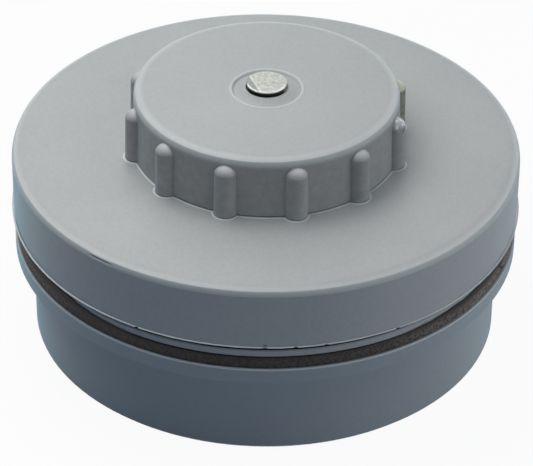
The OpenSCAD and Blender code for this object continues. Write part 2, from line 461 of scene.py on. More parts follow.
@dataclass(frozen=True)
class LidPlastic(MouldedPlastic):
    """The lid's plastic, with painted highlights along its edge and round the knob's foot, a
    scuffed and scratched rim, a flash painted light as a highlight, painted shade in the groove
    below it and a dark line above it.
    """

    top_height: float = 47.7
    edge_inner: float = 57.2
    edge_levels: Point = (45.75, 47.07)
    edge_shares: Point = (0.5, 0.45)
    knob_radius: float = 31.2
    ribs: int = 12
    rib_circle: float = 30.7
    rib_radius: float = 2.7
    foot_highlight_gap: float = 0.32
    scuff_radii: Point = (56.5, 57.6)
    scratch_bearing: float = -141.0
    scratch_reach: float = 4.2
    scratches: tuple[Point, ...] = ((46.95, 0.9), (46.6, 0.06), (46.25, 0.9))
    stain_bearing: float = 177.0
    stain_reach: float = 16.0
    stain_height: float = 0.55
    flash_radius: float = 59.3
    groove_levels: Point = (30.6, 32.3)
    groove_radius: float = 58.1
    curl_bearing: float = -102.7
    curl_reach: float = 0.6
    curl_height: float = 0.45

    def knob_foot(self, place: Place) -> Value:
        """Measure how far a point of the top lies outside the knob's foot and its ribs.

        Args:
            place: The point on the part.

        Returns:
            The distance in millimetres.
        """
        step = 2 * math.pi / self.ribs
        turned = ((place.angle / step + self.ribs + 0.5).fraction() - 0.5) * step
        ahead = place.radius * turned.cosine() - self.rib_circle
        aside = place.radius * turned.sine()
        to_rib = (ahead * ahead + aside * aside).root() - self.rib_radius
        return to_rib.at_most(place.radius - self.knob_radius)

    def marks(self, graph: Graph, place: Place, colour: Value) -> Value:
        """Paint the highlights, the scuffs and scratches, the flash, the lines by it and the
        groove's shade.

        Args:
            graph: The material's graph.
            place: The point on the part.
            colour: The colour so far.

        Returns:
            The colour with the marks.
        """
        # Painted highlight along the lid's top edge.
        colour = self.edge_highlight(
            graph, place, colour, self.edge_inner, self.edge_levels, self.edge_shares)
        top = self.top_height
        # Painted highlight: a light line on the lid just outside the knob's foot and ribs.
        foot_highlight = self.knob_foot(place).near(self.foot_highlight_gap, 0.3, 0.1)
        foot_highlight = foot_highlight * place.z.rise(top - 0.3, top - 0.1)
        colour = graph.blend(foot_highlight * 0.8, colour, srgb(244, 246, 245))
        rim = place.radius.rise(*self.scuff_radii) * place.z.rise(top - 1.6, top - 1.0)
        scuffed = graph.noise(place.vector, 0.22, 4.0, self.seed + 5).rise(0.62, 0.70)
        colour = graph.blend(rim * scuffed * 0.35, colour, srgb(206, 208, 208))
        scratched = place.near_angle(self.scratch_bearing, self.scratch_reach, self.flash_radius)
        for height, level in self.scratches:
            line = place.z.near(height, 0.22, 0.12) * scratched
            colour = graph.blend(line * 0.85, colour, (level, level, level))
        low, high = self.groove_levels
        stain = place.near_angle(self.stain_bearing, self.stain_reach, self.flash_radius)
        stain = stain * place.z.near(high + self.stain_height, 0.5, 0.3)
        colour = graph.blend(stain * 0.95, colour, srgb(12, 11, 11))
        # Painted highlight: the flash is painted near-white so that it shows as a bright line.
        flash = place.radius.rise(self.flash_radius + 0.02, self.flash_radius + 0.1)
        colour = graph.blend(flash * 0.9, colour, srgb(244, 246, 244))
        # Painted shade: near-black in the neck groove under the skirt's overhang.
        groove = place.z.rise(low - 0.06, low + 0.06) * place.z.rise(high + 0.04, high - 0.04)
        groove = groove * place.radius.rise(self.groove_radius + 0.1, self.groove_radius - 0.1)
        colour = graph.blend(groove, colour, srgb(10, 11, 12))
        curl = place.near_angle(self.curl_bearing, self.curl_reach, self.flash_radius)
        curl = curl * place.z.near(high + self.curl_height, 0.45, 0.2)
        return graph.blend(curl * 0.5, colour, srgb(40, 42, 44))


@dataclass(frozen=True)
class KnobPlastic(MouldedPlastic):
    """The knob's plastic: a stained rib, a chipped one, dirt and painted shade on the wall, painted
    highlights.
    """

    stained_rib: float = 0.0
    stain_reach: float = 4.2
    chipped_rib: float = -30.0
    chip_reach: float = 3.4
    chip_levels: Point = (57.8, 58.8)
    chip_shadow: float = 58.0
    wall_radii: Point = (30.85, 31.4)
    rib_radius: float = 33.4
    rib_rim: float = 58.7
    edge_inner: float = 28.2
    edge_levels: Point = (60.8, 62.0)
    edge_shares: Point = (0.3, 0.35)
    bead_radius: float = 8.3

    def marks(self, graph: Graph, place: Place, colour: Value) -> Value:
        """Paint the wall's dirt and shade, the highlights on edge, bead and domes, the stain and
        the chips.

        Args:
            graph: The material's graph.
            place: The point on the part.
            colour: The colour so far.

        Returns:
            The colour with the marks.
        """
        # Painted shade on the wall below the edge, mottled with dirt noise.
        grime_and_shade = graph.noise(place.vector, 0.5, 4.0, self.seed + 7).rise(0.2, 0.8)
        wall = place.z.rise(self.edge_levels[0] - 0.1, self.edge_levels[0] - 0.8)
        colour = graph.blend(wall * (grime_and_shade * 0.25 + 0.19), colour, srgb(124, 119, 117))
        # Painted highlight along the knob's top edge.
        colour = self.edge_highlight(
            graph, place, colour, self.edge_inner, self.edge_levels, self.edge_shares)
        # Painted highlight: a light ring on the bead round the recess.
        bead = place.radius.near(self.bead_radius, 0.45, 0.15)
        colour = graph.blend(bead * 0.4, colour, srgb(236, 238, 236))
        outside = place.radius.rise(*self.wall_radii)
        # Painted highlight on the rib domes, lighter towards their tops.
        dome = outside * place.z.rise(self.rib_rim - 0.05, self.rib_rim + 0.1)
        wear_and_highlight = dome * (place.z.rise(self.rib_rim + 0.1, self.rib_rim + 1.3) * 0.35 + 0.05)
        colour = graph.blend(wear_and_highlight, colour, srgb(238, 240, 239))
        patches = graph.noise(place.vector, 0.9, 3.0, self.seed + 6)
        stain = place.near_angle(self.stained_rib, self.stain_reach, self.rib_radius) * outside
        # The stain is real; its lighter cream tone on the dome is a painted highlight.
        tint = graph.blend(dome, srgb(142, 144, 124), srgb(218, 216, 190))
        tint = graph.blend(patches.rise(0.54, 0.60) * 0.7, tint, srgb(84, 80, 62))
        colour = graph.blend(stain * 0.85, colour, tint)
        chips = place.near_angle(self.chipped_rib, self.chip_reach, self.rib_radius) * outside
        white = chips * place.z.rise(*self.chip_levels) * patches.rise(0.55, 0.60)
        colour = graph.blend(white * 0.9, colour, srgb(252, 252, 250))
        dark = chips * place.z.near(self.chip_shadow, 0.7, 0.2) * patches.rise(0.50, 0.44)
        return graph.blend(dark * 0.7, colour, srgb(60, 60, 58))


@dataclass(frozen=True)
class SpigotPlastic(MouldedPlastic):
    """The spigot's plastic, with a painted highlight along the flange's top edge."""

    flange_top: float = 26.0
    flange_radius: float = 59.2

    def marks(self, graph: Graph, place: Place, colour: Value) -> Value:
        """Paint a highlight along the flange's top edge.

        Args:
            graph: The material's graph.
            place: The point on the part.
            colour: The colour so far.

        Returns:
            The colour with the painted highlight.
        """
        # Painted highlight: a near-white strip along the flange's top edge.
        edge = place.z.rise(self.flange_top - 0.45, self.flange_top - 0.25)
        edge = edge * place.radius.rise(self.flange_radius - 0.4, self.flange_radius - 0.3)
        return graph.blend(edge * 0.85, colour, srgb(246, 248, 246))


@dataclass(frozen=True)
class SealRubber(Finish):
    """Black rubber with dust in its grain, painted shade at the front, top and upper edge, and a
    dark joint.
    """

    colour: Colour
    dust: Colour
    front_shade_bearing: float = -118.0
    outer: float = 58.8
    levels: Point = (26.0, 28.9)
    seed: float = 20.0

    def sockets(self, graph: Graph, place: Place) -> dict:
        """Give the shader's inputs.

        Args:
            graph: The material's graph.
            place: The point on the part.

        Returns:
            Values and links by input name.
        """
        grain = graph.noise(place.vector, 1.5, 3.0, self.seed)
        clouds = graph.noise(place.vector, 0.09, 2.0, self.seed + 1)
        # Painted shade: less dust towards the front bearing, so the front is darker.
        front_shade = (place.angle - math.radians(self.front_shade_bearing)).cosine().rise(0.3, 0.95)
        low, high = self.levels
        # Painted shade: less dust towards the top of the ring, lighter towards the bottom.
        below = place.z.rise(high + 0.6, low + 1.6) * 0.85 + 0.1
        dust_and_shade = grain.rise(0.40, 0.60) * 0.7 + clouds.rise(0.3, 0.8) * 0.3
        dust_and_shade = dust_and_shade * below * (1 - front_shade * 0.7)
        colour = graph.blend(dust_and_shade, self.colour, self.dust)
        # Painted shade: near-black along the ring's upper edge, under the lip.
        colour = graph.blend(place.z.rise(high, high + 0.5), colour, srgb(8, 8, 8))
        turned = place.angle - math.radians(JOINT_BEARING)
        along = turned.sine() * self.outer + (place.z - (low + high) / 2) * JOINT_SLANT
        joint = along.size().rise(0.5, 0.3) * turned.cosine().rise(0.0, 0.2)
        return {
            "Base Color": graph.blend(joint, colour, srgb(6, 6, 6)),
            "Roughness": grain * 0.15 + 0.62,
            "Specular IOR Level": 0.3,
            "Normal": self.relief(graph, grain * 0.08),
        }


@dataclass(frozen=True)
class ZincSteel(Finish):
    """Steel with a dull zinc coat, brighter where it is rubbed."""

    colour: Colour
    dull: Colour
    roughness: float = 0.42
    relief_mm: float = 0.03
    seed: float = 30.0

    def sockets(self, graph: Graph, place: Place) -> dict:
        """Give the shader's inputs.

        Args:
            graph: The material's graph.
            place: The point on the part.

        Returns:
            Values and links by input name.
        """
        spangle = graph.noise(place.vector, 0.9, 4.0, self.seed)
        pits = graph.noise(place.vector, 3.5, 3.0, self.seed + 1)
        return {
            "Base Color": graph.blend(spangle.rise(0.35, 0.65), self.dull, self.colour),
            "Metallic": pits.rise(0.25, 0.5) * 0.25 + 0.7,
            "Roughness": spangle * 0.2 + (self.roughness - 0.1),
            "Normal": self.relief(graph, pits * self.relief_mm + spangle * self.relief_mm * 2),
        }


@dataclass(frozen=True)
class BoltSteel(ZincSteel):
    """The bolt's steel: a dull cut end, a filed corner, a painted rim highlight and painted thread
    shade.
    """

    end: float = 64.1
    disc_radius: float = 4.5
    cut_bearing: float = 188.0
    cut_distance: float = 3.07
    painted_light_bearing: float = -108.0
    thread_shade_depth: float = 6.0
    thread_shade_radii: Point = (3.5, 3.8)

    def sockets(self, graph: Graph, place: Place) -> dict:
        """Give the shader's inputs.

        Args:
            graph: The material's graph.
            place: The point on the part.

        Returns:
            Values and links by input name.
        """
        made = super().sockets(graph, place)
        on_end = place.z.rise(self.end - 0.45, self.end - 0.3)
        wear_and_highlight = graph.noise(place.vector, 1.4, 4.0, self.seed + 3).rise(0.3, 0.7)
        disc = graph.blend(wear_and_highlight, srgb(164, 164, 157), srgb(200, 201, 195))
        bearing = math.radians(self.cut_bearing)
        toward = place.x * math.cos(bearing) + place.y * math.sin(bearing)
        filed = toward.rise(self.cut_distance - 0.1, self.cut_distance + 0.1)
        disc = graph.blend(filed * 0.7, disc, srgb(120, 123, 122))
        edge = toward.near(self.cut_distance - 0.3, 0.35, 0.1)
        disc = graph.blend(edge * 0.35, disc, srgb(236, 238, 232))
        # Bearing of the side facing the camera, where the rim highlight and the thread shade are
        # painted.
        faces = (place.angle - math.radians(self.painted_light_bearing)).cosine().rise(0.1, 0.5)
        # Painted highlight on the front of the end's rim.
        rim_highlight = place.radius.rise(self.disc_radius - 0.3, self.disc_radius - 0.1) * faces
        disc = graph.blend(rim_highlight * 0.8, disc, srgb(246, 247, 242))
        # Painted shade on the front of the thread just below the end.
        lowest = self.end - self.thread_shade_depth
        thread_shade = place.z.rise(self.end - 0.28, self.end - 0.4) * place.z.rise(lowest, lowest + 1)
        thread_shade = thread_shade * faces * place.radius.rise(*self.thread_shade_radii)
        colour = graph.blend(on_end, made["Base Color"], disc)
        return {
            **made,
            "Base Color": graph.blend(thread_shade, colour, srgb(26, 28, 24)),
            "Metallic": made["Metallic"] * (1 - thread_shade) * (1 - on_end * 0.75),
        }


def arc(centre: Point, radius: float, start: float, end: float, steps: int) -> Profile:
    """List points on a round stretch of a profile.

    Args:
        centre: Centre as radius and height.
        radius: Radius of the stretch.
        start: First angle in degrees, 0 outwards and 90 up.
        end: Last angle in degrees.
        steps: Number of steps between them.

    Returns:
        The points, both ends included.
    """
    angles = [math.radians(start + (end - start) * i / steps) for i in range(steps + 1)]
    return [(centre[0] + radius * math.cos(a), centre[1] + radius * math.sin(a)) for a in angles]


def stretch(start: Point, end: Point, step: float) -> Profile:
    """List points on a straight stretch of a profile.

    Args:
        start: First point.
        end: Last point.
        step: Largest distance between two points.

    Returns:
        The points, both ends included.
    """
    count = max(1, math.ceil(math.dist(start, end) / step))
    return [tuple(a + (b - a) * i / count for a, b in zip(start, end)) for i in range(count + 1)]


def turned_mesh(name: str, outline: Callable[[float], Profile],
                bearings: Sequence[float]) -> bpy.types.Mesh:
    """Turn an outline round the Z axis into a closed mesh.

    Args:
        name: The mesh's name.
        outline: Gives the profile at a bearing, anticlockwise in radius and height.
            It is a loop, unless it starts and ends on the axis.
        bearings: Bearings of the columns in degrees.

    Returns:
        The mesh, in metres.
    """
    profiles = [outline(b) for b in bearings]
    rows = len(profiles[0])
    open_ends = profiles[0][0][0] == 0.0 and profiles[0][-1][0] == 0.0
    verts: list[tuple[float, float, float]] = []
    index: list[list[int]] = []
    for bearing, profile in zip(bearings, profiles):
        turn = math.radians(bearing)
        column = []
        for row, (radius, height) in enumerate(profile):
            if open_ends and row in (0, rows - 1) and index:
                column.append(index[0][row])
                continue
            column.append(len(verts))
            place = (radius * math.cos(turn), radius * math.sin(turn), height)
            verts.append(tuple(c * MM for c in place))
        index.append(column)
    faces = []
    last = rows - 1 if open_ends else rows
    for column, here in enumerate(index):
        there = index[(column + 1) % len(index)]
        for row in range(last):
            above = (row + 1) % rows
            loop = (here[row], there[row], there[above], here[above])
            faces.append(tuple(dict.fromkeys(loop)))
    mesh = bpy.data.meshes.new(name)
    mesh.from_pydata(verts, [], faces)
    mesh.validate()
    return mesh


def even_bearings(count: int) -> list[float]:
    """Spread bearings evenly over a full turn."""
    return [360 * i / count for i in range(count)]


def smooth(mesh: bpy.types.Mesh, sharp: float) -> None:
    """Smooth a mesh and keep its creases.

    Args:
        mesh: The mesh.
        sharp: Angle in degrees past which an edge stays sharp.
    """
    mesh.polygons.foreach_set("use_smooth", [True] * len(mesh.polygons))
    mesh.set_sharp_from_angle(angle=math.radians(sharp))


def shown_object(name: str, data: bpy.types.ID) -> bpy.types.Object:
    """Put an object in the scene.

    Args:
        name: The object's name.
        data: Its mesh, lamp or camera.

    Returns:
        The object.
    """
    made = bpy.data.objects.new(name, data)
    bpy.context.scene.collection.objects.link(made)
    return made


class ShapeTree:
    """A Geometry Nodes tree with named sizes, run on a piece and kept as its plain mesh."""

    def __init__(self, name: str, sizes: dict[str, float]) -> None:
        """Start the tree with its named inputs.

        Args:
            name: The tree's name.
            sizes: Name and value of each input, in millimetres or plain numbers.
        """
        self.tree = bpy.data.node_groups.new(name, "GeometryNodeTree")
        self.sizes = sizes
        self.graph = Graph(self.tree)
        interface = self.tree.interface
        interface.new_socket("Geometry", in_out="INPUT", socket_type="NodeSocketGeometry")
        interface.new_socket("Geometry", in_out="OUTPUT", socket_type="NodeSocketGeometry")
        self.sockets = {
            size: interface.new_socket(size, in_out="INPUT", socket_type="NodeSocketFloat")
            for size in sizes
        }
        self.inputs = self.graph.add("NodeGroupInput")
        self.place = Place.read(self.graph, self.graph.value("GeometryNodeInputPosition"))

    def size(self, name: str) -> Value:
        """Read one of the tree's inputs."""
        return Value(self.graph, self.inputs.outputs[name])

    def weight(self, name: str) -> Value:
        """Read a number stored on each point of the mesh."""
        settings = {"data_type": "FLOAT"}
        return self.graph.value("GeometryNodeInputNamedAttribute", settings, {"Name": name})

    def base(self) -> Value:
        """Take the mesh that the tree is run on."""
        return Value(self.graph, self.inputs.outputs[0])

    def moved(self, shape: Value, x: Value, y: Value, z: Value) -> Value:
        """Move each point of a shape.

        Args:
            shape: The shape.
            x: New X in millimetres.
            y: New Y in millimetres.
            z: New Z in millimetres.

        Returns:
            The moved shape.
        """
        graph = self.graph
        place = graph.value("ShaderNodeCombineXYZ", None, {0: x * MM, 1: y * MM, 2: z * MM})
        sockets = {"Geometry": shape, "Position": place}
        return graph.value("GeometryNodeSetPosition", None, sockets)

    def around(self, shape: Value, count: Value, radius: Value) -> Value:
        """Spread copies of a shape evenly around the Z axis, turned outwards.

        Args:
            shape: The shape, made near the Z axis.
            count: Number of copies.
            radius: Distance of each copy from the axis, in millimetres.

        Returns:
            The copies.
        """
        graph = self.graph
        places = graph.value("GeometryNodeMeshCircle", None,
                             {"Vertices": count, "Radius": radius * MM})
        angles = graph.value("ShaderNodeCombineXYZ", None, {2: self.place.angle})
        turned = graph.value("FunctionNodeEulerToRotation", None, {0: angles})
        sockets = {"Points": places, "Instance": shape, "Rotation": turned}
        return graph.value("GeometryNodeInstanceOnPoints", None, sockets)

    def web(self) -> Value:
        """Make one upright web from the tree's web sizes.

        Returns:
            The web, on the Z axis.
        """
        size, place = self.size, self.place
        cube = self.graph.value("GeometryNodeMeshCube", None, {"Size": (MM, MM, MM)})
        height = size("Web middle") + place.z * size("Web height")
        length, thickness = place.x * size("Web length"), place.y * size("Web thickness")
        return self.moved(cube, length, thickness, height)

    def close(self, shape: Value | list[Value], material: bpy.types.Material) -> None:
        """End the tree: join, realize and set the material.

        Args:
            shape: What the tree gives, or several shapes to join.
            material: The finish of the whole mesh.
        """
        graph = self.graph
        whole = graph.value("GeometryNodeJoinGeometry", None, {0: shape})
        solid = graph.value("GeometryNodeRealizeInstances", None, {0: whole})
        sockets = {"Geometry": solid, "Material": material}
        dressed = graph.value("GeometryNodeSetMaterial", None, sockets)
        graph.add("NodeGroupOutput", None, {0: dressed})

    def turned(self, radius: Value, height: Value, material: bpy.types.Material) -> None:
        """End the tree by moving the points of a turned mesh.

        Args:
            radius: New distance from the Z axis, in millimetres.
            height: New height, in millimetres.
            material: The finish of the whole mesh.
        """
        angle = self.place.angle
        shape = self.moved(self.base(), angle.cosine() * radius, angle.sine() * radius, height)
        self.close(shape, material)

    def bake(self, piece: bpy.types.Object, sharp: float) -> bpy.types.Object:
        """Run the tree on a piece and keep the result as its plain mesh.

        Args:
            piece: The object that holds the mesh.
            sharp: Angle in degrees past which an edge stays sharp.

        Returns:
            The same object with its new mesh.
        """
        modifier = piece.modifiers.new("rule", "NODES")
        modifier.node_group = self.tree
        for name, value in self.sizes.items():
            modifier[self.sockets[name].identifier] = float(value)
        depsgraph = bpy.context.evaluated_depsgraph_get()
        baked = bpy.data.meshes.new_from_object(piece.evaluated_get(depsgraph))
        piece.modifiers.clear()
        piece.data = baked
        smooth(baked, sharp)
        return piece


def web_sizes(count: int, thickness: float, radii: Point, levels: Point) -> dict[str, float]:
    """Name the sizes of webs that are spread around the axis.

    Args:
        count: Number of webs.
        thickness: Thickness of each.
        radii: Radii at which a web starts and ends.
        levels: Heights at which it starts and ends.

    Returns:
        The sizes, by the names of a tree's inputs.
    """
    return {
        "Webs": count,
        "Web circle": sum(radii) / 2,
        "Web length": radii[1] - radii[0],
        "Web thickness": thickness,
        "Web height": levels[1] - levels[0],
        "Web middle": sum(levels) / 2,
    }


def store_weight(mesh: bpy.types.Mesh, name: str, rule: Callable[[Vector], float]) -> None:
    """Store a number on each point of a mesh.

    Args:
        mesh: The mesh, in metres.
        name: The number's name.
        rule: Gives the number from the point in millimetres.
    """
    layer = mesh.attributes.new(name, "FLOAT", "POINT")
    layer.data.foreach_set("value", [rule(v.co / MM) for v in mesh.vertices])


def dress(node: str, material: bpy.types.Material) -> None:
    """Give a node of the frame its finish.

    Args:
        node: The node's name.
        material: Its finish.
    """
    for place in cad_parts[node].material_slots:
        place.material = material
    log.info("dressed %s", node)


def place_piece(piece: bpy.types.Object, body: str, slot: str, *stands_for: str) -> None:
    """Let a piece ride on its body and stand for nodes of the frame.

    Args:
        piece: The piece.
        body: The body that carries it.
        slot: The record's material slot, not used.
        stands_for: The nodes that it replaces.
    """
    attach(piece, body)
    if stands_for:
        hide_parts(*stands_for)
    log.info("made %s on %s, %d faces", piece.name, body, len(piece.data.polygons))


@dataclass(frozen=True)
class Seat:
    """Where a piece belongs: its body, the record's slot and the nodes that it stands for."""

    name: str
    body: str
    slot: str
    nodes: tuple[str, ...] = ()


@dataclass
class TurnedPiece:
    """Base of every piece that is turned round the bolt and finished by a shape tree."""

    seat: Seat
    columns: int
    sharp: float

    def section(self) -> Profile:
        """Give the profile that is the same all round. Each round piece has its own."""
        raise NotImplementedError

    def outline(self, bearing: float) -> Profile:
        """Give the profile at a bearing, which is the section unless the piece isn't round."""
        return self.section()

    def store_weights(self, mesh: bpy.types.Mesh) -> None:
        """Store the numbers that the tree reads from the mesh. Most pieces have none."""

    def tree(self, material: bpy.types.Material) -> ShapeTree:
        """Build the tree that finishes the shape. Each piece has its own."""
        raise NotImplementedError

    def build(self, material: bpy.types.Material) -> None:
        """Make the piece and put it on its body.

        Args:
            material: The piece's finish.
        """
        seat = self.seat
        mesh = turned_mesh(seat.name, self.outline, even_bearings(self.columns))
        self.store_weights(mesh)
        piece = self.tree(material).bake(shown_object(seat.name, mesh), self.sharp)
        place_piece(piece, seat.body, seat.slot, *seat.nodes)


@dataclass(frozen=True)
class CrownedEdge:
    """Top edge of a moulding: a slight crown, a crease and a round turn into the wall."""

    crown_radius: float
    crown_tilt: float
    turn_radius: float
    turn_tilt: float
    settle: float = 0.4

    def outline(self, wall: float, top: float) -> Profile:
        """Give the edge's profile, from the wall up and inwards to the flat top.

        Args:
            wall: Radius of the wall where the edge starts.
            top: Height of the flat top.

        Returns:
            The profile, with a short straight stretch at both ends.
        """
        crown, turn = math.radians(self.crown_tilt), math.radians(self.turn_tilt)
        crease_radius = wall - self.turn_radius * (1 - math.cos(turn))
        crease_height = top - self.crown_radius * (1 - math.cos(crown))
        turn_centre = (wall - self.turn_radius, crease_height - self.turn_radius * math.sin(turn))
        crown_start = crease_radius - self.crown_radius * math.sin(crown)
        crown_centre = (crown_start, top - self.crown_radius)
        return [
            (wall, turn_centre[1] - self.settle),
            *arc(turn_centre, self.turn_radius, 0, self.turn_tilt, 5),
            *arc(crown_centre, self.crown_radius, 90 - self.crown_tilt, 90, 6)[1:],
            (crown_start - self.settle, top),
        ]


@dataclass
class Lid(TurnedPiece):
    """Lid: a turned cap with skirt, neck, lip and centring rim, and webs under its plate."""

    seat: Seat = Seat("lid_moulding", "lid", "lid_plastic", ("lid",))
    columns: int = 360
    sharp: float = 19.0
    edge: CrownedEdge = CrownedEdge(5.0, 29.0, 2.4, 36.0)
    flash_out: float = 0.4
    hole_radius: float = 12.46
    hole_edge: float = 0.3
    boss_wall: float = 3.0
    boss_height: float = 9.5
    plate: float = 3.4
    wall: float = 3.0
    lip_height: float = 3.4
    lip_width: float = 4.1
    lip_edge: float = 0.25
    neck_height: float = 1.6
    neck_in: float = 1.4
    seal_bore: float = 54.3
    rim_radius: float = 51.3
    rim_wall: float = 2.0
    webs: int = 8
    web_thickness: float = 2.2
    web_height: float = 6.0

    def __post_init__(self) -> None:
        """Take the levels from the frame."""
        low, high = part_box("lid")
        self.radius = high.x / MM - self.flash_out
        self.foot = low.z / MM
        self.top = high.z / MM
        self.lip_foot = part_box("seal_ring")[1].z / MM

    def section(self) -> Profile:
        """Give the closed profile of the turned moulding.

        Returns:
            The profile, anticlockwise.
        """
        boss_foot = self.top - self.boss_height
        boss_radius = self.hole_radius + self.boss_wall
        inside = self.top - self.plate
        skirt_foot = self.lip_foot + self.lip_height
        ledge = skirt_foot + self.wall
        lip_radius = self.seal_bore + self.lip_width
        lip_top = skirt_foot - self.neck_height
        neck_radius = lip_radius - self.neck_in
        return [
            (self.hole_radius + self.hole_edge, self.top),
            (self.hole_radius, self.top - self.hole_edge),
            (self.hole_radius, boss_foot),
            (boss_radius, boss_foot),
            (boss_radius, inside),
            (self.rim_radius - self.rim_wall, inside),
            (self.rim_radius - self.rim_wall, self.foot),
            (self.rim_radius, self.foot),
            (self.rim_radius, inside),
            (self.radius - self.wall, inside),
            (self.radius - self.wall, ledge),
            (self.seal_bore, ledge),
            (self.seal_bore, self.lip_foot),
            (lip_radius - self.lip_edge, self.lip_foot),
            (lip_radius, self.lip_foot + self.lip_edge),
            (lip_radius, lip_top - self.lip_edge),
            (lip_radius - self.lip_edge, lip_top),
            (neck_radius, lip_top),
            (neck_radius, skirt_foot),
            (self.radius, skirt_foot),
            *self.edge.outline(self.radius, self.top),
        ]

    def tree(self, material: bpy.types.Material) -> ShapeTree:
        """Build the tree that sets the webs under the plate.

        Args:
            material: The lid's finish.

        Returns:
            The tree.
        """
        inside = self.top - self.plate
        boss_radius = self.hole_radius + self.boss_wall
        radii = (boss_radius - WEB_ROOT, self.radius - self.wall + WEB_ROOT)
        levels = (inside - self.web_height, inside + WEB_ROOT)
        tree = ShapeTree("lid_webs", web_sizes(self.webs, self.web_thickness, radii, levels))
        webs = tree.around(tree.web(), tree.size("Webs"), tree.size("Web circle"))
        tree.close([tree.base(), webs], material)
        return tree


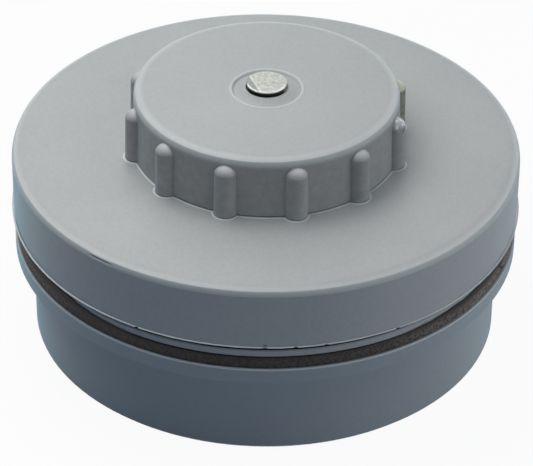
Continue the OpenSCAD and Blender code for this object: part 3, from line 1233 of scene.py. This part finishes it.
@dataclass
class Knob(TurnedPiece):
    """Hand knob: a turned cap, wall and shank, with ribs outside and webs inside."""

    seat: Seat = Seat("knob_moulding", "knob", "knob_plastic", ("knob",))
    columns: int = 288
    sharp: float = 19.0
    edge: CrownedEdge = CrownedEdge(4.6, 29.5, 2.0, 38.0)
    foot_radius: float = 31.2
    foot_edge: float = 0.1
    draft: float = 0.4
    wall: float = 2.8
    gap: float = 0.2
    ribs: int = 12
    rib_foot: float = 5.4
    rib_taper: float = 0.4
    rib_out: float = 2.2
    rib_drop: float = 3.9
    rib_sides: int = 28
    rib_rings: int = 30
    straight_share: float = 0.6
    dome_share: float = 0.985
    dome: float = 1.7
    webs: int = 6
    web_thickness: float = 2.0
    recess_radius: float = 7.95
    recess_depth: float = 0.75
    recess_slope: float = 0.35
    recess_rim: float = 0.35
    dish: float = 0.3
    rim_height: float = 0.14
    collar_width: float = 1.9
    collar_height: float = 1.05
    hole_radius: float = 5.45
    mouth_radius: float = 5.1
    mouth_depths: Point = (2.5, 3.5)
    lip_radius: float = 4.82
    lip_edge: float = 0.12
    lip_depths: Point = (0.25, 0.35)
    shank_radius: float = 12.4
    shank_edge: float = 0.4
    shoulder_radius: float = 16.0
    bead_out: float = 0.8
    bead_height: float = 2.4
    seal_radius: float = 8.0
    seal_thickness: float = 3.0

    def __post_init__(self) -> None:
        """Take the levels from the frame."""
        low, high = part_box("knob")
        self.top = high.z / MM - self.collar_height + self.recess_depth
        self.shank_foot = low.z / MM
        self.lid_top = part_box("lid")[1].z / MM
        self.foot = self.lid_top + self.gap
        self.top_radius = self.foot_radius - self.draft

    def section(self) -> Profile:
        """Give the closed profile of the turned moulding.

        Returns:
            The profile, anticlockwise.
        """
        inside = self.top - self.wall
        bead = self.shank_foot + self.bead_height
        recess = self.top - self.recess_depth
        collar = recess + self.collar_height
        dished = self.top - self.dish
        neck = self.shank_radius + self.bead_out
        rim = self.recess_radius + self.recess_rim
        collar_foot = self.hole_radius + self.collar_width
        seal_top = self.shank_foot + self.seal_thickness
        return [
            (self.lip_radius + self.lip_edge, collar),
            (self.lip_radius, collar - self.lip_edge),
            (self.lip_radius, collar - self.lip_depths[0]),
            (self.mouth_radius, collar - self.lip_depths[1]),
            (self.mouth_radius, self.top - self.mouth_depths[0]),
            (self.hole_radius, self.top - self.mouth_depths[1]),
            (self.hole_radius, seal_top),
            (self.seal_radius, seal_top),
            (self.seal_radius, self.shank_foot),
            (self.shank_radius - self.shank_edge, self.shank_foot),
            (self.shank_radius, self.shank_foot + self.shank_edge),
            (neck, bead - self.bead_out),
            (neck, bead),
            (self.shank_radius, bead),
            (self.shank_radius, self.lid_top),
            (self.shoulder_radius, self.lid_top),
            (self.shoulder_radius, inside),
            (self.top_radius - self.wall, inside),
            (self.foot_radius - self.wall, self.foot),
            (self.foot_radius - self.foot_edge, self.foot),
            (self.foot_radius, self.foot + self.foot_edge),
            *self.edge.outline(self.top_radius, self.top),
            (rim + 0.9, dished),
            (rim + 0.5, dished),
            *arc((rim, dished - 0.2), 0.2 + self.rim_height, 70, 150, 5),
            (self.recess_radius - self.recess_slope, recess),
            (collar_foot + 0.2, recess),
            (collar_foot - 0.2, recess + 0.08),
            (self.mouth_radius + 0.5, collar - 0.1),
        ]

    def rib(self, tree: ShapeTree) -> Value:
        """Make one rib: a round bar that narrows upwards and ends in a dome.

        Args:
            tree: The knob's tree.

        Returns:
            The rib, on the Z axis.
        """
        size, place = tree.size, tree.place
        bar = tree.graph.value("GeometryNodeMeshCylinder", None, {
            "Vertices": self.rib_sides, "Side Segments": self.rib_rings,
            "Radius": MM, "Depth": MM})
        share = place.z + 0.5
        straight = (share / size("Straight share")).at_most(1.0)
        cap = ((share - size("Straight share")) / (1 - size("Straight share"))).at_least(0.0)
        tilt = size("Rim angle") * (1 - cap * self.dome_share)
        wide = size("Rib foot radius") - size("Rib narrowing") * straight
        radius = wide * tilt.sine() / size("Rim angle").sine()
        dome = size("Dome radius") * (tilt.cosine() - size("Rim angle").cosine())
        height = size("Foot") + size("Rib height") * straight + dome
        return tree.moved(bar, place.x * radius, place.y * radius, height)

    def tree(self, material: bpy.types.Material) -> ShapeTree:
        """Build the tree that sets ribs and webs around the turned moulding.

        Args:
            material: The knob's finish.

        Returns:
            The tree.
        """
        rib_top = (self.rib_foot - self.rib_taper) / 2
        dome_radius = (rib_top ** 2 + self.dome ** 2) / (2 * self.dome)
        radii = (self.shoulder_radius - WEB_ROOT, self.top_radius - self.wall + WEB_ROOT)
        levels = (self.lid_top + self.wall, self.top - self.wall + WEB_ROOT)
        tree = ShapeTree("knob_grip", {
            "Ribs": self.ribs,
            "Rib circle": self.foot_radius + self.rib_out - self.rib_foot / 2,
            "Rib foot radius": self.rib_foot / 2,
            "Rib narrowing": self.rib_taper / 2,
            "Rib height": self.top - self.foot - self.rib_drop,
            "Foot": self.foot,
            "Straight share": self.straight_share,
            "Rim angle": math.asin(rib_top / dome_radius),
            "Dome radius": dome_radius,
            **web_sizes(self.webs, self.web_thickness, radii, levels),
        })
        size = tree.size
        ribs = tree.around(self.rib(tree), size("Ribs"), size("Rib circle"))
        webs = tree.around(tree.web(), size("Webs"), size("Web circle"))
        tree.close([tree.base(), ribs, webs], material)
        return tree


@dataclass
class Bolt(TurnedPiece):
    """Galvanised bolt with a rolled thread, a hexagonal head and a rough end."""

    seat: Seat = Seat("galvanised_bolt", "spigot", "bolt_steel", ("bolt",))
    columns: int = 48
    sharp: float = 30.0
    thread_radius: float = 4.95
    thread_step: float = 0.14
    pitch: float = 1.5
    depth: float = 0.78
    chamfer: float = 1.6
    end_radius: float = 4.6
    end_bulge: float = 0.06
    bulge_depths: Point = (0.35, 0.08)
    neck_radius: float = 4.4
    roughness: float = 0.16
    flats: float = 17.0
    face_share: float = 0.95
    head: float = 6.4
    head_edge: float = 0.15

    def __post_init__(self) -> None:
        """Take the levels from the frame."""
        low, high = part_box("bolt")
        self.foot = low.z / MM
        self.end = high.z / MM
        self.seat_level = self.foot + self.head

    def outline(self, bearing: float) -> Profile:
        """Give the profile at a bearing, hexagonal over the head.

        Args:
            bearing: Bearing in degrees; a corner of the head lies at 0.

        Returns:
            The profile from the head's middle to the end's middle.
        """
        off_flat = (bearing % 60) - 30
        corner = self.flats / 2 / math.cos(math.radians(off_flat))
        face = self.flats / 2 * self.face_share
        rise = (corner - face) * math.tan(math.radians(30))
        return [
            (0.0, self.foot),
            (face, self.foot),
            (corner, self.foot + rise),
            (corner, self.seat_level - self.head_edge),
            (corner - self.head_edge, self.seat_level),
            (self.thread_radius, self.seat_level),
            *stretch((self.thread_radius, self.seat_level + 0.2),
                     (self.thread_radius, self.end - self.chamfer), self.thread_step),
            (self.neck_radius, self.end - self.chamfer + 0.3),
            (self.neck_radius, self.end - 0.5),
            (self.end_radius + self.end_bulge, self.end - self.bulge_depths[0]),
            (self.end_radius + self.end_bulge, self.end - self.bulge_depths[1]),
            (self.end_radius, self.end),
            *[(self.end_radius * share, self.end) for share in (0.85, 0.7, 0.55, 0.4, 0.25, 0.12)],
            (0.0, self.end),
        ]

    def store_weights(self, mesh: bpy.types.Mesh) -> None:
        """Mark the points that the thread is cut in and those of the rough end.

        Args:
            mesh: The bolt's mesh.
        """
        thread_end = self.end - self.chamfer + 0.01

        def thread(point: Vector) -> float:
            """Tell whether the thread is cut in a point."""
            return 1.0 if self.seat_level + 0.4 < point.z < thread_end else 0.0

        def end(point: Vector) -> float:
            """Tell whether a point lies on the rough end."""
            return 1.0 if point.z > self.end - 0.4 else 0.0

        store_weight(mesh, "thread", thread)
        store_weight(mesh, "end", end)

    def tree(self, material: bpy.types.Material) -> ShapeTree:
        """Build the tree that cuts the thread and roughens the end.

        Args:
            material: The bolt's finish.

        Returns:
            The tree.
        """
        rule = ShapeTree("bolt_thread", {
            "Pitch": self.pitch,
            "Depth": self.depth,
            "Roughness": self.roughness,
        })
        size, place = rule.size, rule.place
        turns = place.angle / (2 * math.pi)
        phase = (place.z / size("Pitch") - turns + 100.0).fraction()
        groove = ((phase - 0.5).size() * 2.4 - 0.2).at_least(0.0).at_most(1.0)
        cut = groove * size("Depth") * rule.weight("thread")
        lumps = rule.graph.noise(place.vector, 0.8, 3.0, 41.0) - 0.5
        rough = lumps * size("Roughness") * rule.weight("end") * 2.0
        rule.turned(place.radius - cut + rough, place.z + rough.size() * -1.0, material)
        return rule


@dataclass
class SealRing(TurnedPiece):
    """Flat rubber ring, cut from strip, with its two ends joined at a slant."""

    seat: Seat = Seat("rubber_ring", "spigot", "seal_rubber", ("seal_ring",))
    columns: int = 540
    sharp: float = 60.0
    edge: float = 0.3
    width: float = 4.5
    rise: float = 1.5
    rise_middle: float = 77.0
    joint_depth: float = 0.45
    uneven: float = 0.18
    step: float = 0.3

    def __post_init__(self) -> None:
        """Take the section from the frame."""
        low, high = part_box("seal_ring")
        self.outer = high.x / MM
        self.bottom = low.z / MM
        self.top = high.z / MM
        self.inner = self.outer - self.width

    def section(self) -> Profile:
        """Give the rounded section of the ring.

        Returns:
            The section, anticlockwise.
        """
        edge, step = self.edge, self.step
        return [
            (self.inner, self.bottom),
            *arc((self.outer - edge, self.bottom + edge), edge, -90, 0, 4),
            *stretch((self.outer, self.bottom + edge + step),
                     (self.outer, self.top - edge - step), step),
            *arc((self.outer - edge, self.top - edge), edge, 0, 90, 4),
            (self.outer - edge - 0.02, self.top),
            (self.inner, self.top),
        ]

    def tree(self, material: bpy.types.Material) -> ShapeTree:
        """Build the tree that squeezes the ring up around the lip, and cuts its joint.

        Args:
            material: The rubber's finish.

        Returns:
            The tree.
        """
        rule = ShapeTree("ring_joint", {
            "Bearing": math.radians(JOINT_BEARING),
            "Slant": JOINT_SLANT,
            "Middle": (self.bottom + self.top) / 2,
            "Outer": self.outer,
            "Uneven": self.uneven,
            "Joint depth": self.joint_depth,
            "Top": self.top,
            "Rise": self.rise,
            "Rise middle": math.radians(self.rise_middle),
        })
        size, place = rule.size, rule.place
        turned = place.angle - size("Bearing")
        slanted = turned.sine() * size("Outer") + (place.z - size("Middle")) * size("Slant")
        joint = slanted.size().rise(0.55, 0.0) * turned.cosine().rise(0, 0.1)
        skin = (place.radius - size("Outer") + 1.0).rise(0.0, 1.0)
        waves = rule.graph.noise(place.vector, 0.16, 2.0, 51.0) - 0.5
        inwards = joint * size("Joint depth") + (waves + 0.5) * size("Uneven")
        squeezed = (place.angle - size("Rise middle")).cosine().rise(-0.98, -0.55)
        rim = (place.radius - size("Outer")).rise(-0.31, -0.29)
        upper = (place.z - size("Top")).rise(-1.2, -0.1) * rim
        lift = squeezed * upper * size("Rise") * (waves + 1.0)
        rule.turned(place.radius - inwards * skin, place.z + lift, material)
        return rule


@dataclass
class LidFlash(TurnedPiece):
    """Thin ragged edge that the mould left along the lid's skirt."""

    seat: Seat = Seat("lid_flash", "lid", "lid_plastic")
    columns: int = 900
    sharp: float = 35.0
    inside: float = 0.4
    out: float = 0.05
    lip_height: float = Lid.lip_height
    height: float = 0.18
    drop: float = 0.05
    bevel: float = 0.1
    edge_levels: Point = (0.08, 0.12)
    reach: float = 0.12
    nick_depth: float = 0.38
    nicks: tuple[float, ...] = (-131.4, -102.8, -96.2, -89.6, -73.0)

    def __post_init__(self) -> None:
        """Take the skirt's edge from the frame."""
        self.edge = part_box("lid")[1].x / MM + self.out
        self.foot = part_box("seal_ring")[1].z / MM + self.lip_height

    def section(self) -> Profile:
        """Give the flat section of the flash.

        Returns:
            The section, anticlockwise.
        """
        wall_end, bevel_end = self.edge_levels
        return [
            (self.edge - self.inside, self.foot - self.drop),
            (self.edge - self.bevel, self.foot - self.drop),
            (self.edge, self.foot),
            (self.edge, self.foot + wall_end),
            (self.edge - self.bevel, self.foot + bevel_end),
            (self.edge - self.inside, self.foot + self.height),
        ]

    def tree(self, material: bpy.types.Material) -> ShapeTree:
        """Build the tree that makes the edge ragged and breaks it at its nicks.

        Args:
            material: The lid's finish.

        Returns:
            The tree.
        """
        rule = ShapeTree("flash_edge", {
            "Edge": self.edge,
            "Reach": self.reach,
            "Nick": self.nick_depth,
        })
        size, place = rule.size, rule.place
        rag = rule.graph.noise(place.vector, 0.35, 3.0, 61.0)
        outer = (place.radius - size("Edge") + 0.2).rise(0.0, 0.15)
        out = (rag - 0.6) * size("Reach") * 2.0
        for nick in self.nicks:
            turned = place.angle - math.radians(nick)
            notch = (turned.sine().size() * size("Edge")).rise(0.55, 0.2)
            out = out - notch * turned.cosine().rise(0, 0.1) * size("Nick")
        rule.turned(place.radius + out * outer, place.z, material)
        return rule


def sky_direction(azimuth: float, elevation: float) -> Vector:
    """Give the direction from the plug towards a camera or a lamp.

    Args:
        azimuth: Bearing in degrees, anticlockwise from -Y.
        elevation: Height above the floor in degrees.

    Returns:
        The direction, of length 1.
    """
    turn, tilt = math.radians(azimuth), math.radians(elevation)
    return Vector((
        math.sin(turn) * math.cos(tilt), -math.cos(turn) * math.cos(tilt), math.sin(tilt)))


@dataclass(frozen=True)
class PhotoCamera:
    """Camera at the photograph's angle, found from the ellipses of the plug's circles."""

    width_px: int = 533
    height_px: int = 466
    focal_px: float = 3000.0
    distance: float = 709.1
    azimuth: float = -13.0
    elevation: float = 34.242
    roll: float = 0.668
    target_height: float = 32.4
    target_px: Point = (265.52, 195.6)
    sensor_mm: float = 36.0
    clip: Point = (0.05, 20.0)

    def build(self) -> None:
        """Make the camera and set it as the scene's."""
        turn = math.radians(self.azimuth)
        back = sky_direction(self.azimuth, self.elevation)
        right = Vector((math.cos(turn), math.sin(turn), 0.0))
        up = back.cross(right)
        spin = math.radians(self.roll)
        right_rolled = right * math.cos(spin) + up * math.sin(spin)
        up_rolled = up * math.cos(spin) - right * math.sin(spin)
        side = (self.target_px[0] - self.width_px / 2) / self.focal_px
        rise = (self.height_px / 2 - self.target_px[1]) / self.focal_px
        aim = (back + right_rolled * side + up_rolled * rise).normalized()
        across = up_rolled.cross(aim).normalized()
        upward = aim.cross(across)
        data = bpy.data.cameras.new("photo_camera")
        data.sensor_width = self.sensor_mm
        data.lens = self.focal_px * self.sensor_mm / self.width_px
        data.clip_start, data.clip_end = self.clip
        camera = shown_object("photo_camera", data)
        turned = Matrix((across, upward, aim)).transposed().to_4x4()
        place = Vector((0, 0, self.target_height * MM)) + back * self.distance * MM
        camera.matrix_world = Matrix.Translation(place) @ turned
        bpy.context.scene.camera = camera


@dataclass(frozen=True)
class Lamp:
    """One square softbox that faces the plug."""

    name: str
    side: Side
    elevation: float
    distance: float
    size: float
    level: float

    def build(self, azimuth: float) -> None:
        """Make the lamp.

        Args:
            azimuth: The camera's azimuth, from which the lamp's side is counted.
        """
        data = bpy.data.lights.new(self.name, "AREA")
        data.shape = "SQUARE"
        data.size = self.size
        data.energy = self.level * (math.pi * self.distance) ** 2
        lamp = shown_object(self.name, data)
        out = sky_direction(azimuth + self.side.value, self.elevation)
        lamp.location = out * self.distance
        lamp.rotation_euler = out.to_track_quat("Z", "Y").to_euler()


@dataclass(frozen=True)
class Studio:
    """White floor, soft lamps and a plain world."""

    azimuth: float
    lamps: tuple[Lamp, ...]
    floor_size: float = 12.0
    glow_share: float = 0.94
    bounce: Colour = (0.30, 0.40, 0.50)
    world: Colour = (0.004, 0.024, 0.061)

    @staticmethod
    def shown(graph: Graph) -> Value:
        """Tell whether a ray comes from the camera or off a shiny or clear surface.

        Args:
            graph: The graph of the floor or the world.

        Returns:
            1 for such a ray and 0 for any other.
        """
        rays = graph.add("ShaderNodeLightPath")
        seen = [Value(graph, rays.outputs[f"Is {kind} Ray"])
                for kind in ("Camera", "Glossy", "Transmission")]
        return seen[0].at_least(seen[1]).at_least(seen[2])

    def build_floor(self) -> None:
        """Make the floor: white with a faint shadow where it is seen, grey in what it returns."""
        half = self.floor_size / 2
        mesh = bpy.data.meshes.new("floor")
        square = [(-half, -half, 0), (half, -half, 0), (half, half, 0), (-half, half, 0)]
        mesh.from_pydata(square, [], [(0, 1, 2, 3)])
        floor = shown_object("floor", mesh)
        material, graph = new_material("floor")
        shown = self.shown(graph)
        colour = graph.blend(shown, self.bounce, WHITE)
        paint = graph.add("ShaderNodeBsdfDiffuse", None, {"Color": colour})
        glow = graph.add("ShaderNodeEmission", None, {"Color": opaque(WHITE)})
        sockets = {0: shown * self.glow_share, 1: paint.outputs[0], 2: glow.outputs[0]}
        mixed = graph.add("ShaderNodeMixShader", None, sockets)
        graph.add("ShaderNodeOutputMaterial", None, {"Surface": mixed.outputs[0]})
        mesh.materials.append(material)

    def build_world(self) -> None:
        """Make the world: white where it is seen, dim in the light that it gives."""
        world = bpy.data.worlds.new("studio")
        bpy.context.scene.world = world
        world.use_nodes = True
        graph = Graph(world.node_tree)
        colour = graph.blend(self.shown(graph), self.world, WHITE)
        light = graph.add("ShaderNodeBackground", None, {"Color": colour, "Strength": 1.0})
        graph.add("ShaderNodeOutputWorld", None, {"Surface": light.outputs[0]})

    def build(self) -> None:
        """Make the floor, the world and the lamps."""
        self.build_floor()
        self.build_world()
        for lamp in self.lamps:
            lamp.build(self.azimuth)
        bpy.context.scene.view_settings.view_transform = "Standard"


def main() -> None:
    """Build the camera, the studio and every piece, in order."""
    logging.basicConfig(level=logging.INFO, format="%(name)s: %(message)s")
    camera = PhotoCamera()
    camera.build()
    lamps = (
        Lamp("key", Side.LEFT, elevation=73.0, distance=0.26, size=0.2, level=0.425),
        Lamp("back_left", Side.BACK_LEFT, elevation=50.0, distance=2.0, size=1.6, level=0.28),
        Lamp("right_high", Side.RIGHT, elevation=50.0, distance=2.0, size=1.4, level=0.11),
        Lamp("right_low", Side.RIGHT, elevation=12.0, distance=2.0, size=1.2, level=0.168),
        Lamp("front_right", Side.FRONT_RIGHT, elevation=20.0, distance=2.0, size=1.2, level=0.099),
    )
    Studio(camera.azimuth, lamps).build()

    lid_plastic = LidPlastic("lid_plastic", srgb(192, 193, 190), srgb(180, 182, 180)).material()
    knob_plastic = KnobPlastic(
        "knob_plastic", srgb(187, 188, 185), srgb(176, 178, 176), sheen=0.15, seed=7.0).material()
    spigot_plastic = SpigotPlastic(
        "spigot_plastic", srgb(171, 178, 181), srgb(161, 169, 173), sheen=0.55,
        seed=13.0).material()
    rubber = SealRubber("seal_rubber", srgb(30, 29, 28), srgb(146, 134, 126)).material()
    bolt_steel = BoltSteel(
        "bolt_steel", srgb(200, 199, 192), srgb(158, 156, 146), relief_mm=0.04).material()
    fixing_steel = ZincSteel(
        "fixing_steel", srgb(205, 206, 205), srgb(170, 171, 170), seed=35.0).material()

    dress("spigot_body", spigot_plastic)
    dress("bolt_washer", fixing_steel)
    dress("bolt_lock_nut", fixing_steel)
    dress("knob_nut", fixing_steel)
    dress("bolt_seal", rubber)
    Lid().build(lid_plastic)
    LidFlash().build(lid_plastic)
    Knob().build(knob_plastic)
    Bolt().build(bolt_steel)
    SealRing().build(rubber)


if __name__ == "__main__":
    main()
